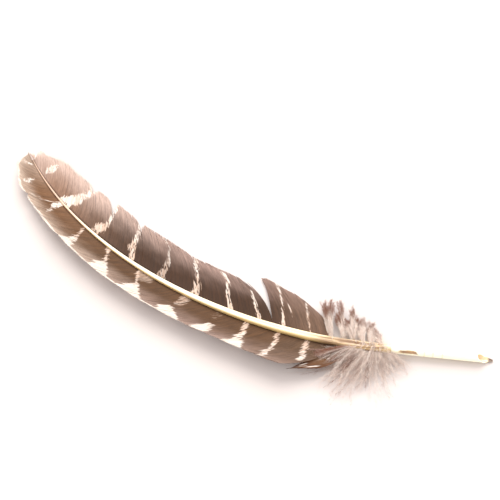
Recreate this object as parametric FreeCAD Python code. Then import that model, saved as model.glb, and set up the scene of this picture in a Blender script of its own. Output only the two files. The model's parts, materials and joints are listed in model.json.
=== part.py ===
"""Quill pen made from one barred wing feather, lying on its back with the grooved face of the shaft up.

The feather is grown keratin, so it comes apart into a hollow barrel cut to a nib, a tapering shaft with a
pith core, webs of barbs on both sides of the shaft, loose locks of barbs and downy tufts at the base.
Millimetres, +Z up, the nib towards +X, the narrow leading web towards -Y. z = 0 is the table.
A place along the shaft is its distance from the nib tip, called "run" here.
"""
import FreeCAD, Part
import math
import os

V = FreeCAD.Vector

# ---- the shaft's line -------------------------------------------------------------------------------
NIB_X = 143.90              # nib tip; with NIB_Y it puts the middle of the whole quill over the origin
NIB_Y = 28.12
NIB_Z = 2.4                 # the barrel lies on the table
BARREL_LENGTH = 54.0
BARREL_SWEEP = 21.3         # degrees that the barrel is turned from the long axis
BARREL_RISE = 1.2           # degrees that the barrel climbs from the nib
TIP_OFFSET = V(-283.6, -3.7, 3.4)    # end of the curve from the nib tip
TIP_SWEEP = 35.5            # degrees at which the shaft runs into the tip
BASE_PULL = 88.0            # how far each end's direction carries into the bow
TIP_PULL = 68.0
BASE_DIP = -4.1             # height lost along each pull, so that the middle rests on the table
TIP_DIP = -6.0
SHAFT_END = 294.0           # the shaft stops short of the last barbs

# ---- the barrel and its nib -------------------------------------------------------------------------
BARREL_RADIUS = 2.4
BORE_RADIUS = 1.75
SCRAPED_LENGTH = 12.0       # scraped a little thinner over this length from the nib
SCRAPED_RADIUS = 2.32
SCOOP_LENGTH = 9.2          # slanting cut that opens the barrel
TONGUE_LENGTH = 4.6         # the narrow tongue beyond the scoop
TONGUE_TOP = -1.1           # height of the tongue's edges below the barrel's axis
NIB_HALF_WIDTH = 0.5
SHOULDER_HALF_WIDTH = 2.6
TINE_LENGTH = 4.0
TINE_CLEARANCE = 0.06
SLIT_WIDTH = 0.12
SLIT_LENGTH = 5.4

# ---- what is left inside the barrel -----------------------------------------------------------------
PULP_FROM = 40.5
PULP_TO = 50.0
PULP_RADIUS = 1.5
CAP_RUNS = (26.0, 31.0, 35.5)
CAP_RADIUS = 1.7
CAP_HEIGHT = 1.3
CAP_WALL = 0.15

# ---- the shaft's sections: run, width, height -------------------------------------------------------
SHAFT_SECTIONS = (
    (54.0, 4.8, 4.8),
    (66.0, 4.7, 4.3),
    (100.0, 4.3, 3.8),
    (140.0, 3.8, 3.3),
    (180.0, 3.2, 2.7),
    (220.0, 2.5, 2.1),
    (260.0, 1.7, 1.5),
    (294.0, 0.8, 0.8),
)
SECTION_SPACING = 12.0
CORTEX_WALL = 0.38
PITH_CLEARANCE = 0.03
PITH_FROM = 58.0
PITH_TO = 258.0
GROOVE_DEPTH = 0.35         # of the furrow along the upper face

# ---- the webs ---------------------------------------------------------------------------------------
LEADING = -1
TRAILING = 1
WEB_THICKNESS = 0.5
WEB_CLEARANCE = 0.12
SEAM = 0.12                 # parting between neighbouring webs, along the shaft
BARB_BOW = 0.07             # how far a barb bulges towards the barrel, as a share of its length
# run, barb length, angle between barb and shaft
LEADING_BARBS = (
    (81.0, 33.0, 35.0),
    (118.0, 29.0, 35.0),
    (160.0, 28.0, 35.0),
    (190.0, 27.0, 35.0),
    (225.0, 25.0, 35.0),
    (250.0, 22.0, 36.0),
    (268.0, 19.5, 38.0),
    (282.0, 16.0, 30.0),
    (295.0, 6.0, 12.0),
)
TRAILING_BARBS = (
    (86.0, 20.0, 54.0),
    (94.0, 28.0, 52.0),
    (108.0, 34.5, 50.0),
    (124.0, 28.0, 49.0),
    (150.0, 28.0, 49.0),
    (180.0, 30.5, 49.0),
    (215.0, 31.0, 49.0),
    (235.0, 29.0, 47.0),
    (262.0, 26.0, 42.0),
    (282.0, 16.5, 28.0),
    (295.0, 6.0, 12.0),
)
LEADING_LIFT = 8.0          # how far the outer edge stands above its root
TRAILING_LIFT = 0.6         # crown of the trailing web between its root and its edge
TRAILING_EDGE_HEIGHT = 0.15 # the trailing web leans on the table with its outer edge
TIP_FADE = 70.0             # over this much run the leading lift dies away to the tip
ROOT_HEIGHT = 0.30          # where the barbs leave the shaft, as a share of its height

# The webs from tip to barrel: name, run nearest the tip, run nearest the barrel, how far the partings on
# the tip side and on the barrel side gape at the outer edge, and how sharply they gape towards that edge.
LEADING_WEBS = (
    ("leading_web_tip", 294.5, 283.0, 0.0, 0.3, 2.0),
    ("leading_web_2", 283.0, 262.0, 0.0, 0.8, 2.0),
    ("leading_web_3", 262.0, 238.0, 0.0, 0.0, 2.0),
    ("leading_web_4", 238.0, 214.0, 0.0, 0.0, 2.0),
    ("leading_web_5", 214.0, 190.0, 0.0, 0.0, 2.0),
    ("leading_web_6", 190.0, 166.0, 0.0, 0.0, 2.0),
    ("leading_web_7", 166.0, 142.0, 0.0, 0.0, 2.0),
    ("leading_web_8", 142.0, 118.0, 0.0, 0.0, 2.0),
    ("leading_web_9", 118.0, 100.0, 0.0, 0.0, 2.0),
    ("leading_web_base", 100.0, 81.0, 0.0, 0.0, 2.0),
)
TRAILING_WEBS = (
    ("trailing_web_tip", 294.5, 262.0, 0.0, 0.0, 2.0),
    ("trailing_web_2", 262.0, 240.0, 0.0, 1.0, 4.0),
    ("trailing_web_3", 240.0, 223.5, 0.0, 1.5, 3.0),
    ("trailing_web_4", 223.5, 200.0, 0.0, 1.5, 3.0),
    ("trailing_web_5", 200.0, 180.0, 0.0, 0.0, 2.0),
    ("trailing_web_6", 180.0, 160.0, 0.0, 0.8, 4.0),
    ("trailing_web_7", 160.0, 138.0, 0.0, 0.0, 2.0),
    ("trailing_web_8", 138.0, 118.4, 0.0, 8.0, 1.9),
    ("trailing_web_9", 118.4, 105.0, 7.0, 0.0, 1.9),
    ("trailing_web_base", 104.3, 86.0, 0.0, 0.0, 2.0),
)

# Loose locks of barbs: name, side, root run, root width, length, angle to the shaft, lift of the end.
LOCKS = (
    ("leading_lock_1", LEADING, 77.5, 4.0, 35.0, 35.0, 5.5),
    ("leading_lock_2", LEADING, 73.4, 3.0, 31.0, 42.0, 4.5),
    ("trailing_lock_1", TRAILING, 83.0, 3.0, 25.0, 69.0, 4.0),
    ("trailing_lock_2", TRAILING, 79.0, 3.0, 18.0, 76.0, 5.0),
)

# Downy tufts: name, side, root run, reach in x and y from the root, full width.
TUFTS = (
    ("down_tuft_1", LEADING, 69.5, (-9.0, -33.5), 4.8),
    ("down_tuft_2", LEADING, 67.0, (-3.0, -34.0), 6.0),
    ("down_tuft_3", LEADING, 64.0, (3.0, -27.5), 5.5),
    ("down_tuft_4", LEADING, 60.5, (8.5, -17.5), 4.5),
    ("down_tuft_5", LEADING, 57.2, (11.5, -7.0), 3.4),
    ("semiplume_1", TRAILING, 74.0, (-10.0, 15.5), 3.4),
    ("semiplume_2", TRAILING, 69.5, (-9.0, 17.0), 5.0),
    ("semiplume_3", TRAILING, 64.5, (-6.5, 15.0), 5.0),
    ("semiplume_4", TRAILING, 59.5, (-2.0, 9.5), 4.0),
)
TUFT_ROOT_WIDTH = 1.6
TUFT_THICKNESS = 4.4
TUFT_HEIGHT = 3.6           # middle of a tuft above the table


# ---- the line and its frames ------------------------------------------------------------------------
def direction(sweep, rise=0.0):
    """Unit vector from the nib towards the tip, swept towards -Y and climbing."""
    level = math.cos(math.radians(rise))
    return V(-math.cos(math.radians(sweep)) * level, -math.sin(math.radians(sweep)) * level,
             math.sin(math.radians(rise)))


NIB = V(NIB_X, NIB_Y, NIB_Z)
BARREL_WAY = direction(BARREL_SWEEP, BARREL_RISE)
BARREL_TOP = NIB + BARREL_WAY * BARREL_LENGTH
FEATHER_TIP = NIB + TIP_OFFSET


def bow():
    """The curve of the shaft beyond the barrel."""
    curve = Part.BezierCurve()
    base_pole = BARREL_TOP + BARREL_WAY * BASE_PULL + V(0, 0, BASE_DIP)
    tip_pole = FEATHER_TIP - direction(-TIP_SWEEP) * TIP_PULL + V(0, 0, TIP_DIP)
    curve.setPoles([BARREL_TOP, base_pole, tip_pole, FEATHER_TIP])
    return curve


BOW = bow()


def shaft_point(run):
    if run <= BARREL_LENGTH:
        return NIB + BARREL_WAY * run
    return BOW.value(BOW.parameterAtDistance(run - BARREL_LENGTH, 0.0))


def shaft_way(run):
    """Unit tangent towards the feather's tip."""
    if run <= BARREL_LENGTH:
        return BARREL_WAY
    tangent = BOW.tangent(BOW.parameterAtDistance(run - BARREL_LENGTH, 0.0))[0]
    return V(tangent).normalize()


def outward(run, side):
    """Level unit vector square to the shaft, towards the given web."""
    way = shaft_way(run)
    across = V(-way.y, way.x, 0).normalize()
    return across * (1 if across.y * side > 0 else -1)


def between(stations, run, column):
    """Smoothly interpolated value of one column in a list of stations."""
    if run <= stations[0][0]:
        return stations[0][column]
    for low, high in zip(stations, stations[1:]):
        if run <= high[0]:
            share = (run - low[0]) / (high[0] - low[0])
            share = share * share * (3 - 2 * share) * 0.5 + share * 0.5
            return low[column] + (high[column] - low[column]) * share
    return stations[-1][column]


def shaft_width(run):
    return between(SHAFT_SECTIONS, run, 1)


def shaft_height(run):
    return between(SHAFT_SECTIONS, run, 2)


# ---- barrel and nib ---------------------------------------------------------------------------------
def to_barrel(shape):
    """Move a shape modelled along +X from the nib tip onto the barrel's line."""
    across = V(0, 0, 1).cross(BARREL_WAY).normalize()
    up = BARREL_WAY.cross(across)
    matrix = FreeCAD.Matrix(BARREL_WAY.x, across.x, up.x, NIB.x,
                            BARREL_WAY.y, across.y, up.y, NIB.y,
                            BARREL_WAY.z, across.z, up.z, NIB.z, 0, 0, 0, 1)
    moved = shape.copy()
    moved.Placement = FreeCAD.Placement(matrix).multiply(shape.Placement)
    return moved


def scoop_cutter():
    """Everything above the slanting scoop and the tongue."""
    top = V(SCOOP_LENGTH, 0, BARREL_RADIUS)
    bend = V(0.62 * SCOOP_LENGTH, 0, -0.35)
    foot = V(TONGUE_LENGTH, 0, TONGUE_TOP)
    front = V(-1, 0, TONGUE_TOP - 0.25)
    front_top = V(-1, 0, 2 * BARREL_RADIUS)
    back_top = V(SCOOP_LENGTH, 0, 2 * BARREL_RADIUS)
    edges = [
        Part.Arc(top, bend, foot).toShape(),
        Part.makeLine(foot, front),
        Part.makeLine(front, front_top),
        Part.makeLine(front_top, back_top),
        Part.makeLine(back_top, top),
    ]
    face = Part.Face(Part.Wire(edges))
    face.translate(V(0, -2 * BARREL_RADIUS, 0))
    return face.extrude(V(0, 4 * BARREL_RADIUS, 0))


def cheek_cutter(side):
    """The hollow-ground cheek that narrows the tongue to the nib."""
    shoulder = V(TONGUE_LENGTH + 0.8, side * SHOULDER_HALF_WIDTH, 0)
    waist = V(0.5 * TONGUE_LENGTH, side * 1.15, 0)
    nib = V(0, side * NIB_HALF_WIDTH, 0)
    front = V(-1, side * NIB_HALF_WIDTH, 0)
    front_out = V(-1, side * 2 * SHOULDER_HALF_WIDTH, 0)
    back_out = V(TONGUE_LENGTH + 0.8, side * 2 * SHOULDER_HALF_WIDTH, 0)
    edges = [
        Part.Arc(shoulder, waist, nib).toShape(),
        Part.makeLine(nib, front),
        Part.makeLine(front, front_out),
        Part.makeLine(front_out, back_out),
        Part.makeLine(back_out, shoulder),
    ]
    face = Part.Face(Part.Wire(edges))
    face.translate(V(0, 0, -2 * BARREL_RADIUS))
    return face.extrude(V(0, 0, 4 * BARREL_RADIUS))


def cut_barrel():
    """The whole hollow barrel with its scoop and cheeks cut, before the slit divides it."""
    along = V(1, 0, 0)
    tube = Part.makeCylinder(BARREL_RADIUS, BARREL_LENGTH - SCRAPED_LENGTH, V(SCRAPED_LENGTH, 0, 0), along)
    tube = tube.fuse(Part.makeCone(SCRAPED_RADIUS, BARREL_RADIUS, SCRAPED_LENGTH, V(0, 0, 0), along))
    tube = tube.cut(Part.makeCylinder(BORE_RADIUS, BARREL_LENGTH, V(0, 0, 0), along))
    for cutter in (scoop_cutter(), cheek_cutter(LEADING), cheek_cutter(TRAILING)):
        tube = tube.cut(cutter)
    return tube


def block(x_from, x_to, y_from, y_to):
    """Tall block for splitting the barrel."""
    return Part.makeBox(x_to - x_from, y_to - y_from, 4 * BARREL_RADIUS,
                        V(x_from, y_from, -2 * BARREL_RADIUS))


def barrel_parts():
    whole = cut_barrel()
    half_slit = SLIT_WIDTH / 2
    far = 2 * SHOULDER_HALF_WIDTH
    body = whole.cut(block(-1, TINE_LENGTH + TINE_CLEARANCE, -far, far))
    body = body.cut(block(-1, SLIT_LENGTH, -half_slit, half_slit))
    return {
        "quill_barrel": to_barrel(body),
        "nib_tine_leading": to_barrel(whole.common(block(-1, TINE_LENGTH, half_slit, far))),
        "nib_tine_trailing": to_barrel(whole.common(block(-1, TINE_LENGTH, -far, -half_slit))),
    }


def pulp_cap(run):
    """Thin dried dome across the bore."""
    outer = Part.makeSphere(CAP_RADIUS, V(0, 0, 0))
    inner = Part.makeSphere(CAP_RADIUS - CAP_WALL, V(0, 0, 0))
    cap = outer.cut(inner).common(Part.makeBox(CAP_HEIGHT, 9, 9, V(0.4, -4.5, -4.5)))
    cap.translate(V(run, 0, 0))
    return to_barrel(cap)


def dried_pulp():
    """Shrivelled spindle of pulp at the top of the bore."""
    length = PULP_TO - PULP_FROM
    spine = Part.BSplineCurve()
    spine.interpolate([V(0, 0, 0), V(0.2 * length, 0, 0.55 * PULP_RADIUS), V(0.65 * length, 0, PULP_RADIUS),
                       V(length, 0, 0.6 * PULP_RADIUS)])
    edges = [
        spine.toShape(),
        Part.makeLine(V(length, 0, 0.6 * PULP_RADIUS), V(length, 0, 0)),
        Part.makeLine(V(length, 0, 0), V(0, 0, 0)),
    ]
    pulp = Part.Face(Part.Wire(edges)).revolve(V(0, 0, 0), V(1, 0, 0), 360)
    pulp.translate(V(PULP_FROM, 0, 0))
    return to_barrel(pulp)


# ---- shaft ------------------------------------------------------------------------------------------
def shaft_wire(run, inset, furrow):
    """Closed section of the shaft: a rounded block with a furrow along its upper face."""
    centre = shaft_point(run)
    way = shaft_way(run)
    across = outward(run, TRAILING)
    up = across.cross(way)
    if up.z < 0:
        up = up * -1
    half_width = shaft_width(run) / 2 - inset
    half_height = shaft_height(run) / 2 - inset
    points = []
    for step in range(16):
        angle = 2 * math.pi * (step + 0.5) / 16
        block_share = min(1.0, max(0.0, (run - BARREL_LENGTH) / 12.0))
        power = 1.0 - 0.25 * block_share
        x = half_width * math.copysign(abs(math.cos(angle)) ** power, math.cos(angle))
        y = half_height * math.copysign(abs(math.sin(angle)) ** power, math.sin(angle))
        if y > 0:
            y -= furrow * block_share * (half_height / 2.4) * math.exp(-(2.2 * x / half_width) ** 2)
        points.append(centre + across * x + up * y)
    outline = Part.BSplineCurve()
    outline.interpolate(points, True)
    return Part.Wire(outline.toShape())


def shaft_loft(first, last, inset, furrow):
    """Straight-sided lengths of shaft, short enough to follow the bow."""
    lengths = math.ceil((last - first) / SECTION_SPACING)
    runs = [first + (last - first) * step / lengths for step in range(lengths + 1)]
    return Part.makeLoft([shaft_wire(run, inset, furrow) for run in runs], True, True)


def shaft_parts():
    """The keratin cortex, and the pith that fills it."""
    outside = shaft_loft(BARREL_LENGTH, SHAFT_END, 0.0, GROOVE_DEPTH)
    hollow = shaft_loft(PITH_FROM, PITH_TO, CORTEX_WALL, GROOVE_DEPTH)
    pith = shaft_loft(PITH_FROM + PITH_CLEARANCE, PITH_TO - PITH_CLEARANCE,
                      CORTEX_WALL + PITH_CLEARANCE, GROOVE_DEPTH)
    return {"rachis_cortex": outside.cut(hollow), "rachis_pith": pith}


# ---- webs of barbs ----------------------------------------------------------------------------------
def root_point(run, side):
    centre = shaft_point(run)
    height = shaft_height(run)
    reach = shaft_width(run) / 2 + WEB_CLEARANCE
    return centre + outward(run, side) * reach + V(0, 0, (ROOT_HEIGHT - 0.5) * height)


def rise(run, side, share):
    """Height that a barb gains by this share of its length."""
    fade = min(1.0, max(0.15, (SHAFT_END - run) / TIP_FADE))
    if side == LEADING:
        return LEADING_LIFT * fade * share ** 1.5
    lean = fade * (TRAILING_EDGE_HEIGHT - root_point(run, side).z) * share
    return lean + TRAILING_LIFT * math.sin(math.pi * share) + 1.5 * (1 - fade) * share


def barb_point(run, side, share, swing=0.0):
    """Point on the barb rooted at this run; swing carries its outer end towards the tip."""
    stations = LEADING_BARBS if side == LEADING else TRAILING_BARBS
    length = between(stations, run, 1)
    angle = math.radians(between(stations, run, 2))
    way = shaft_way(run)
    out = outward(run, side)
    chord = way * math.cos(angle) + out * math.sin(angle)
    bulge = out * math.cos(angle) - way * math.sin(angle)
    place = root_point(run, side) + chord * (length * share)
    place = place + bulge * (BARB_BOW * length * 4 * share * (1 - share))
    place.z = root_point(run, side).z + rise(run, side, share)
    return place + way * swing


def sheet_solid(rows):
    """Closed sheet between a surface through rows of points and its copy, one web thickness higher."""
    lifted = [[point + V(0, 0, WEB_THICKNESS) for point in row] for row in rows]
    faces = []
    for grid in (rows, lifted):
        surface = Part.BSplineSurface()
        surface.interpolate(grid)
        faces.append(surface.toShape())
    lower, upper = faces
    for low_edge in lower.Edges:
        middle = low_edge.valueAt((low_edge.FirstParameter + low_edge.LastParameter) / 2)
        partner = min(upper.Edges, key=lambda edge: edge.valueAt(
            (edge.FirstParameter + edge.LastParameter) / 2).distanceToPoint(middle))
        faces.append(Part.makeRuledSurface(low_edge, partner))
    shell = Part.Shell(faces)
    shell.sewShape()
    solid = Part.Solid(shell)
    if solid.Volume < 0:
        solid.reverse()
    return solid


def web(side, tip_run, base_run, tip_gape, base_gape, sharpness):
    """One web of zipped barbs between two partings."""
    rows = []
    steps = 6
    for step in range(steps + 1):
        share = step / steps
        run = tip_run - SEAM / 2 - (tip_run - base_run - SEAM) * share
        gape = base_gape * share ** 3 - tip_gape * (1 - share) ** 3
        rows.append([barb_point(run, side, u / 8, gape * (u / 8) ** sharpness) for u in range(9)])
    return sheet_solid(rows)


def lock(side, run, root_width, length, angle, lift):
    """Pointed lock of loose barbs, parted from the webs."""
    way = shaft_way(run)
    out = outward(run, side)
    turn = math.radians(angle)
    chord = way * math.cos(turn) + out * math.sin(turn)
    bulge = out * math.cos(turn) - way * math.sin(turn)
    rows = []
    for edge in (-0.5, 0.0, 0.5):
        root = root_point(run + edge * root_width, side)
        row = []
        for u in range(9):
            share = u / 8
            width = root_width * (1 - 0.8 * share) * edge
            place = root_point(run, side) + chord * (length * share)
            place = place + bulge * (BARB_BOW * length * 4 * share * (1 - share))
            place = place - way * (width * math.sin(turn)) + out * (width * math.cos(turn) * share)
            place.z = root.z + lift * share ** 1.4
            row.append(place)
        rows.append(row)
    return sheet_solid(rows)


# ---- down -------------------------------------------------------------------------------------------
def tuft(side, run, reach, width):
    """Soft tuft of down as one closed teardrop, wide in the middle."""
    root = root_point(run, side)
    end = V(root.x + reach[0], root.y + reach[1], TUFT_HEIGHT)
    along = V(end.x - root.x, end.y - root.y, 0).normalize()
    across = V(-along.y, along.x, 0)
    wires = []
    for share, spread in ((0.02, 0.0), (0.25, 0.55), (0.6, 1.0), (0.85, 0.8), (1.0, 0.25)):
        centre = root + (end - root) * share
        centre.z = root.z + (TUFT_HEIGHT - root.z) * min(1.0, 2 * share)
        half_width = (TUFT_ROOT_WIDTH + (width - TUFT_ROOT_WIDTH) * spread) / 2
        half_height = (TUFT_ROOT_WIDTH + (TUFT_THICKNESS - TUFT_ROOT_WIDTH) * spread) / 2
        points = []
        for step in range(12):
            angle = 2 * math.pi * step / 12
            points.append(centre + across * (half_width * math.cos(angle))
                          + V(0, 0, half_height * math.sin(angle)))
        outline = Part.BSplineCurve()
        outline.interpolate(points, True)
        wires.append(Part.Wire(outline.toShape()))
    return Part.makeLoft(wires, True, True)


def all_parts():
    parts = barrel_parts()
    parts["dried_pulp"] = dried_pulp()
    for number, run in enumerate(CAP_RUNS, 1):
        parts[f"pulp_cap_{number}"] = pulp_cap(run)
    parts.update(shaft_parts())
    for side, webs in ((LEADING, LEADING_WEBS), (TRAILING, TRAILING_WEBS)):
        for name, *layout in webs:
            parts[name] = web(side, *layout)
    for name, side, run, root_width, length, angle, lift in LOCKS:
        parts[name] = lock(side, run, root_width, length, angle, lift)
    for name, side, run, reach, width in TUFTS:
        parts[name] = tuft(side, run, reach, width)
    return parts


os.makedirs("parts", exist_ok=True)
whole_box = FreeCAD.BoundBox()
for node, solid in all_parts().items():
    solid.exportStep(f"parts/{node}.step")
    box = solid.BoundBox
    whole_box.add(box)
    print(f"{node:20s} valid {solid.isValid()} solids {len(solid.Solids)} volume {solid.Volume:9.2f}"
          f"  x {box.XMin:7.2f} {box.XMax:7.2f}  y {box.YMin:7.2f} {box.YMax:7.2f}"
          f"  z {box.ZMin:6.2f} {box.ZMax:6.2f}")
print("overall", whole_box)
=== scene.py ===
"""Looks of a quill pen made from one barred wing feather, lying on its back on a white table.

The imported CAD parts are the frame. The barrel, its nib, the pulp and the pith keep their CAD shapes and get
materials. The shaft, the webs of barbs, the loose locks and the down are built here in full detail, and each
stands for its CAD node. Lengths are in millimetres until a mesh is made.

"run" is the distance along the shaft from the nib tip, "share" the part of a barb's length from its root.
"""
import json
import math
from collections import namedtuple

import bpy
import numpy as np
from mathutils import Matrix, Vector


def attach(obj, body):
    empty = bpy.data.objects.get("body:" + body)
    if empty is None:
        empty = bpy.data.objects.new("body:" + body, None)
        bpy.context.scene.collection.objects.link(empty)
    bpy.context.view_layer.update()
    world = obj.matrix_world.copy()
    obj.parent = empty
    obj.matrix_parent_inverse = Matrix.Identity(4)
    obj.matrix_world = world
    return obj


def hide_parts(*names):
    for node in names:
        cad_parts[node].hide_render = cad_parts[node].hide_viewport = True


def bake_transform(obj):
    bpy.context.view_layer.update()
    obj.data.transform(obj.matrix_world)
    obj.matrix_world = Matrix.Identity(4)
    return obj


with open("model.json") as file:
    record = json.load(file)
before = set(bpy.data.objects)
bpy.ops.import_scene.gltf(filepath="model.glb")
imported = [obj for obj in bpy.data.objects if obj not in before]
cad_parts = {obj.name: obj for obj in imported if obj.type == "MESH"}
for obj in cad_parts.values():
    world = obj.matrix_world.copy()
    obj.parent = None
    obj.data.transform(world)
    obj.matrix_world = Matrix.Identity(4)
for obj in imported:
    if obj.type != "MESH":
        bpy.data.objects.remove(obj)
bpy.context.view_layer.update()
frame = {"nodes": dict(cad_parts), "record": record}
MM = 0.001

# ---- The shaft's line ----
NIB = np.array([143.90, 28.12, 2.4])
BARREL_LENGTH, BARREL_RADIUS = 54.0, 2.4
BARREL_SWEEP, BARREL_RISE = 21.3, 1.2
CURVE_END_OFFSET = np.array([-283.6, -3.7, 3.4])
TIP_SWEEP = 35.5
BASE_PULL, TIP_PULL = 88.0, 68.0
BASE_DIP, TIP_DIP = -4.1, -6.0
SHAFT_END, SHAFT_OVERRUN = 294.0, 5.0   # the overrun is a fine point past the CAD end
SHAFT_SECTIONS = (          # run, width, height
    (54, 4.8, 4.8), (66, 4.7, 4.3), (100, 4.3, 3.8), (140, 3.8, 3.3),
    (180, 3.2, 2.7), (220, 2.5, 2.1), (260, 1.7, 1.5), (294, 0.8, 0.8),
)
GROOVE_DEPTH = 0.35
SQUARING_LENGTH = 12.0      # the round barrel turns into the squarer, furrowed shaft over this length
SHAFT_RINGS, SHAFT_CORNERS = 420, 56
# Run, share of the CAD width that the bare shaft has
BARE_WIDTH = ((54, 1), (110, 1), (150, 0.92), (200, 0.84), (250, 0.68), (290, 0.6), (299, 0.35))

# ---- The webs ----
LEADING, TRAILING = -1, 1
WEB_CLEARANCE = 0.12
ROOT_HEIGHT = 0.30
BARB_BOW = 0.07
LEADING_LIFT, TIP_FADE = 8.0, 70.0
TRAILING_LIFT, TRAILING_EDGE_HEIGHT = 0.6, 0.15
BARBS = {                   # run, barb length, angle between barb and shaft
    LEADING: (
        (81, 33, 35), (118, 29, 35), (160, 28, 35), (190, 27, 35), (225, 25, 35), (250, 22, 36),
        (268, 19.5, 38), (282, 16, 30), (295, 6, 12)),
    TRAILING: (
        (86, 20, 54), (94, 28, 52), (108, 34.5, 50), (124, 28, 49), (150, 28, 49), (180, 30.5, 49),
        (215, 31, 49), (235, 29, 47), (262, 26, 42), (282, 16.5, 28), (295, 6, 12)),
}
SIDE_NAMES = {LEADING: "leading", TRAILING: "trailing"}
BARB_SLOTS = {LEADING: "leading_barbs", TRAILING: "trailing_barbs"}
WEB_PLACES = ("tip", 2, 3, 4, 5, 6, 7, 8, 9, "base")
SEAMS = {                   # runs of the boundaries between the webs, from the tip to the barrel
    LEADING: (294.5, 283, 262, 238, 214, 190, 166, 142, 118, 100, 81),
    TRAILING: (294.5, 262, 240, 223.5, 200, 180, 160, 138, 118.4, 104.6, 86),
}
# Gape at the outer edge on the tip side and on the barrel side, and how sharply it opens
NO_GAPE = (0, 0, 2)
GAPES = {
    "leading_web_tip": (0, 0.3, 2), "leading_web_2": (0, 0.8, 2), "trailing_web_2": (0, 0.4, 4),
    "trailing_web_3": (0, 0.6, 3), "trailing_web_4": (0, 0.6, 3), "trailing_web_6": (0, 0.8, 4),
    "trailing_web_8": (0, 8, 1.9), "trailing_web_9": (7, 0, 1.9),
}
BIG_SPLIT = 118.4           # run of the wide parting in the trailing vane
# Notches in the outline, where the barbs on the barrel side are worn short: run, depth as a share, width
NOTCHES = {
    LEADING: ((262, 0.16, 6), (225, 0.06, 10)),
    TRAILING: ((240.3, 0.22, 8.5), (223.8, 0.36, 7.5), (200.3, 0.28, 6.5), (160, 0.05, 5)),
}

# ---- Fine detail of the barbs ----
BARB_PITCH = 0.54
COLUMNS_PER_BARB = 4
ROWS = 40
RIDGE_HEIGHT = 0.15         # the barb's shaft stands up from the web between barbs
SHEET_RAISE = 0.25          # middle of the CAD sheet above its lower face
SHEET_THICKNESS = 0.12
LEAST_THICKNESS = 0.08
TABLE_GAP = 0.03            # no sheet comes closer to the table
NEVER = 2.0                 # share past the end of every barb, for edges that do not part
CLOSING_ANGLE = 16.0        # the last barbs lie this much closer to the shaft

# Pale bars across the webs: strength, then share, run and width at the points that shape each bar
BARS = {
    TRAILING: (
        (0.9, (0.36, 291, 0.8), (0.6, 289.6, 1.4), (0.98, 287, 1.2)),
        (0.95, (0.18, 281, 1.5), (0.42, 277, 5.5), (0.6, 274, 5), (0.76, 271, 2)),
        (1, (0.02, 260, 8), (0.2, 255.5, 7.5), (0.4, 250.5, 5.5), (0.7, 242, 4), (0.95, 238, 6)),
        (0.9, (0.02, 234, 5), (0.18, 230.5, 7), (0.36, 226.5, 3), (0.68, 222.5, 3.5), (0.95, 219, 7)),
        (0.9, (0, 206.5, 5), (0.2, 208, 5.5), (0.5, 204.5, 3.6), (0.74, 201, 3), (0.98, 197.5, 5)),
        (0.55, (0, 187, 9), (0.14, 185, 5), (0.42, 181.5, 3.4), (0.75, 178.5, 1.8), (0.97, 180, 4.5)),
        (0.9, (0, 164.5, 7), (0.18, 162.8, 4.6), (0.42, 162, 2.6), (0.72, 160.5, 4.6), (0.98, 157, 2.6)),
        (0.85, (0, 143, 5.5), (0.25, 144.3, 3.6), (0.5, 142.3, 2.6), (0.66, 140.2, 2.2),
         (0.92, 139.5, 4.4)),
        (0.9, (0, 126, 3.2), (0.24, 127.2, 4), (0.48, 126, 2.8), (0.68, 123.6, 1.8)),
        (0.9, (0, 113, 3.2), (0.3, 110.6, 2.2), (0.62, 107.2, 1.8), (0.85, 104.4, 2.2), (1, 102.5, 2.4)),
        (0.9, (0.22, 105.6, 0.6), (0.36, 105.3, 1.3), (0.48, 105.2, 0.6)),
        (0.9, (0.04, 97.6, 1.4), (0.36, 96.2, 1.3), (0.66, 93.2, 1.7), (0.98, 89.6, 2.2)),
    ),
    LEADING: (
        (0.9, (0.34, 279, 1.6), (0.52, 277, 3.2), (0.7, 275, 2.6), (0.84, 273.5, 1.2)),
        (1, (0, 261.5, 3.5), (0.17, 259.3, 5.6), (0.3, 258, 3), (0.4, 256, 0.8)),
        (0.7, (0.4, 254.6, 1.4), (0.54, 252.6, 3.4), (0.66, 250.6, 1.4)),
        (1, (0.24, 262.6, 1), (0.45, 263.2, 1.5), (0.8, 264, 1)),
        (1, (0.26, 289.6, 0.8), (0.5, 288.4, 1.4), (0.95, 287, 1)),
        (0.95, (0, 240, 2.2), (0.26, 234.8, 2.2), (0.44, 230.5, 4), (0.7, 225, 6), (1.1, 217, 12)),
        (0.95, (0, 220.5, 4), (0.24, 213.8, 3), (0.42, 208.5, 4), (0.6, 204, 9), (1.1, 190, 15)),
        (0.45, (0, 192.5, 13), (0.14, 191.5, 12), (0.24, 190, 6)),
        (0.95, (0, 199, 1.8), (0.3, 190, 2.4), (0.44, 185.8, 4.6), (0.62, 181.5, 9), (0.92, 174, 16),
         (1.1, 168, 18)),
        (0.55, (0, 167.5, 8.5), (0.18, 165.5, 6.5), (0.34, 163.5, 3.2)),
        (1, (0.54, 161, 4), (0.68, 158, 10), (0.94, 149.5, 14), (1.1, 145, 14)),
        (0.35, (0.04, 146.5, 5), (0.22, 144.5, 4)),
        (0.95, (0.46, 139, 4.5), (0.66, 136.5, 7), (0.86, 133, 9), (1.02, 130, 8)),
        (0.95, (0, 131.5, 2.8), (0.24, 127, 3.2), (0.44, 122.5, 3.4), (0.66, 118, 6), (0.86, 113.5, 9),
         (1.08, 109, 13)),
        (0.95, (0, 114, 3.4), (0.24, 109, 3.2), (0.46, 104.6, 2.8), (0.68, 101, 3), (0.86, 96.2, 4),
         (0.98, 94, 3)),
        (0.8, (0, 98, 5), (0.24, 93.5, 4.4), (0.46, 88, 4), (0.66, 84, 3.4)),
    ),
}

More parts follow.
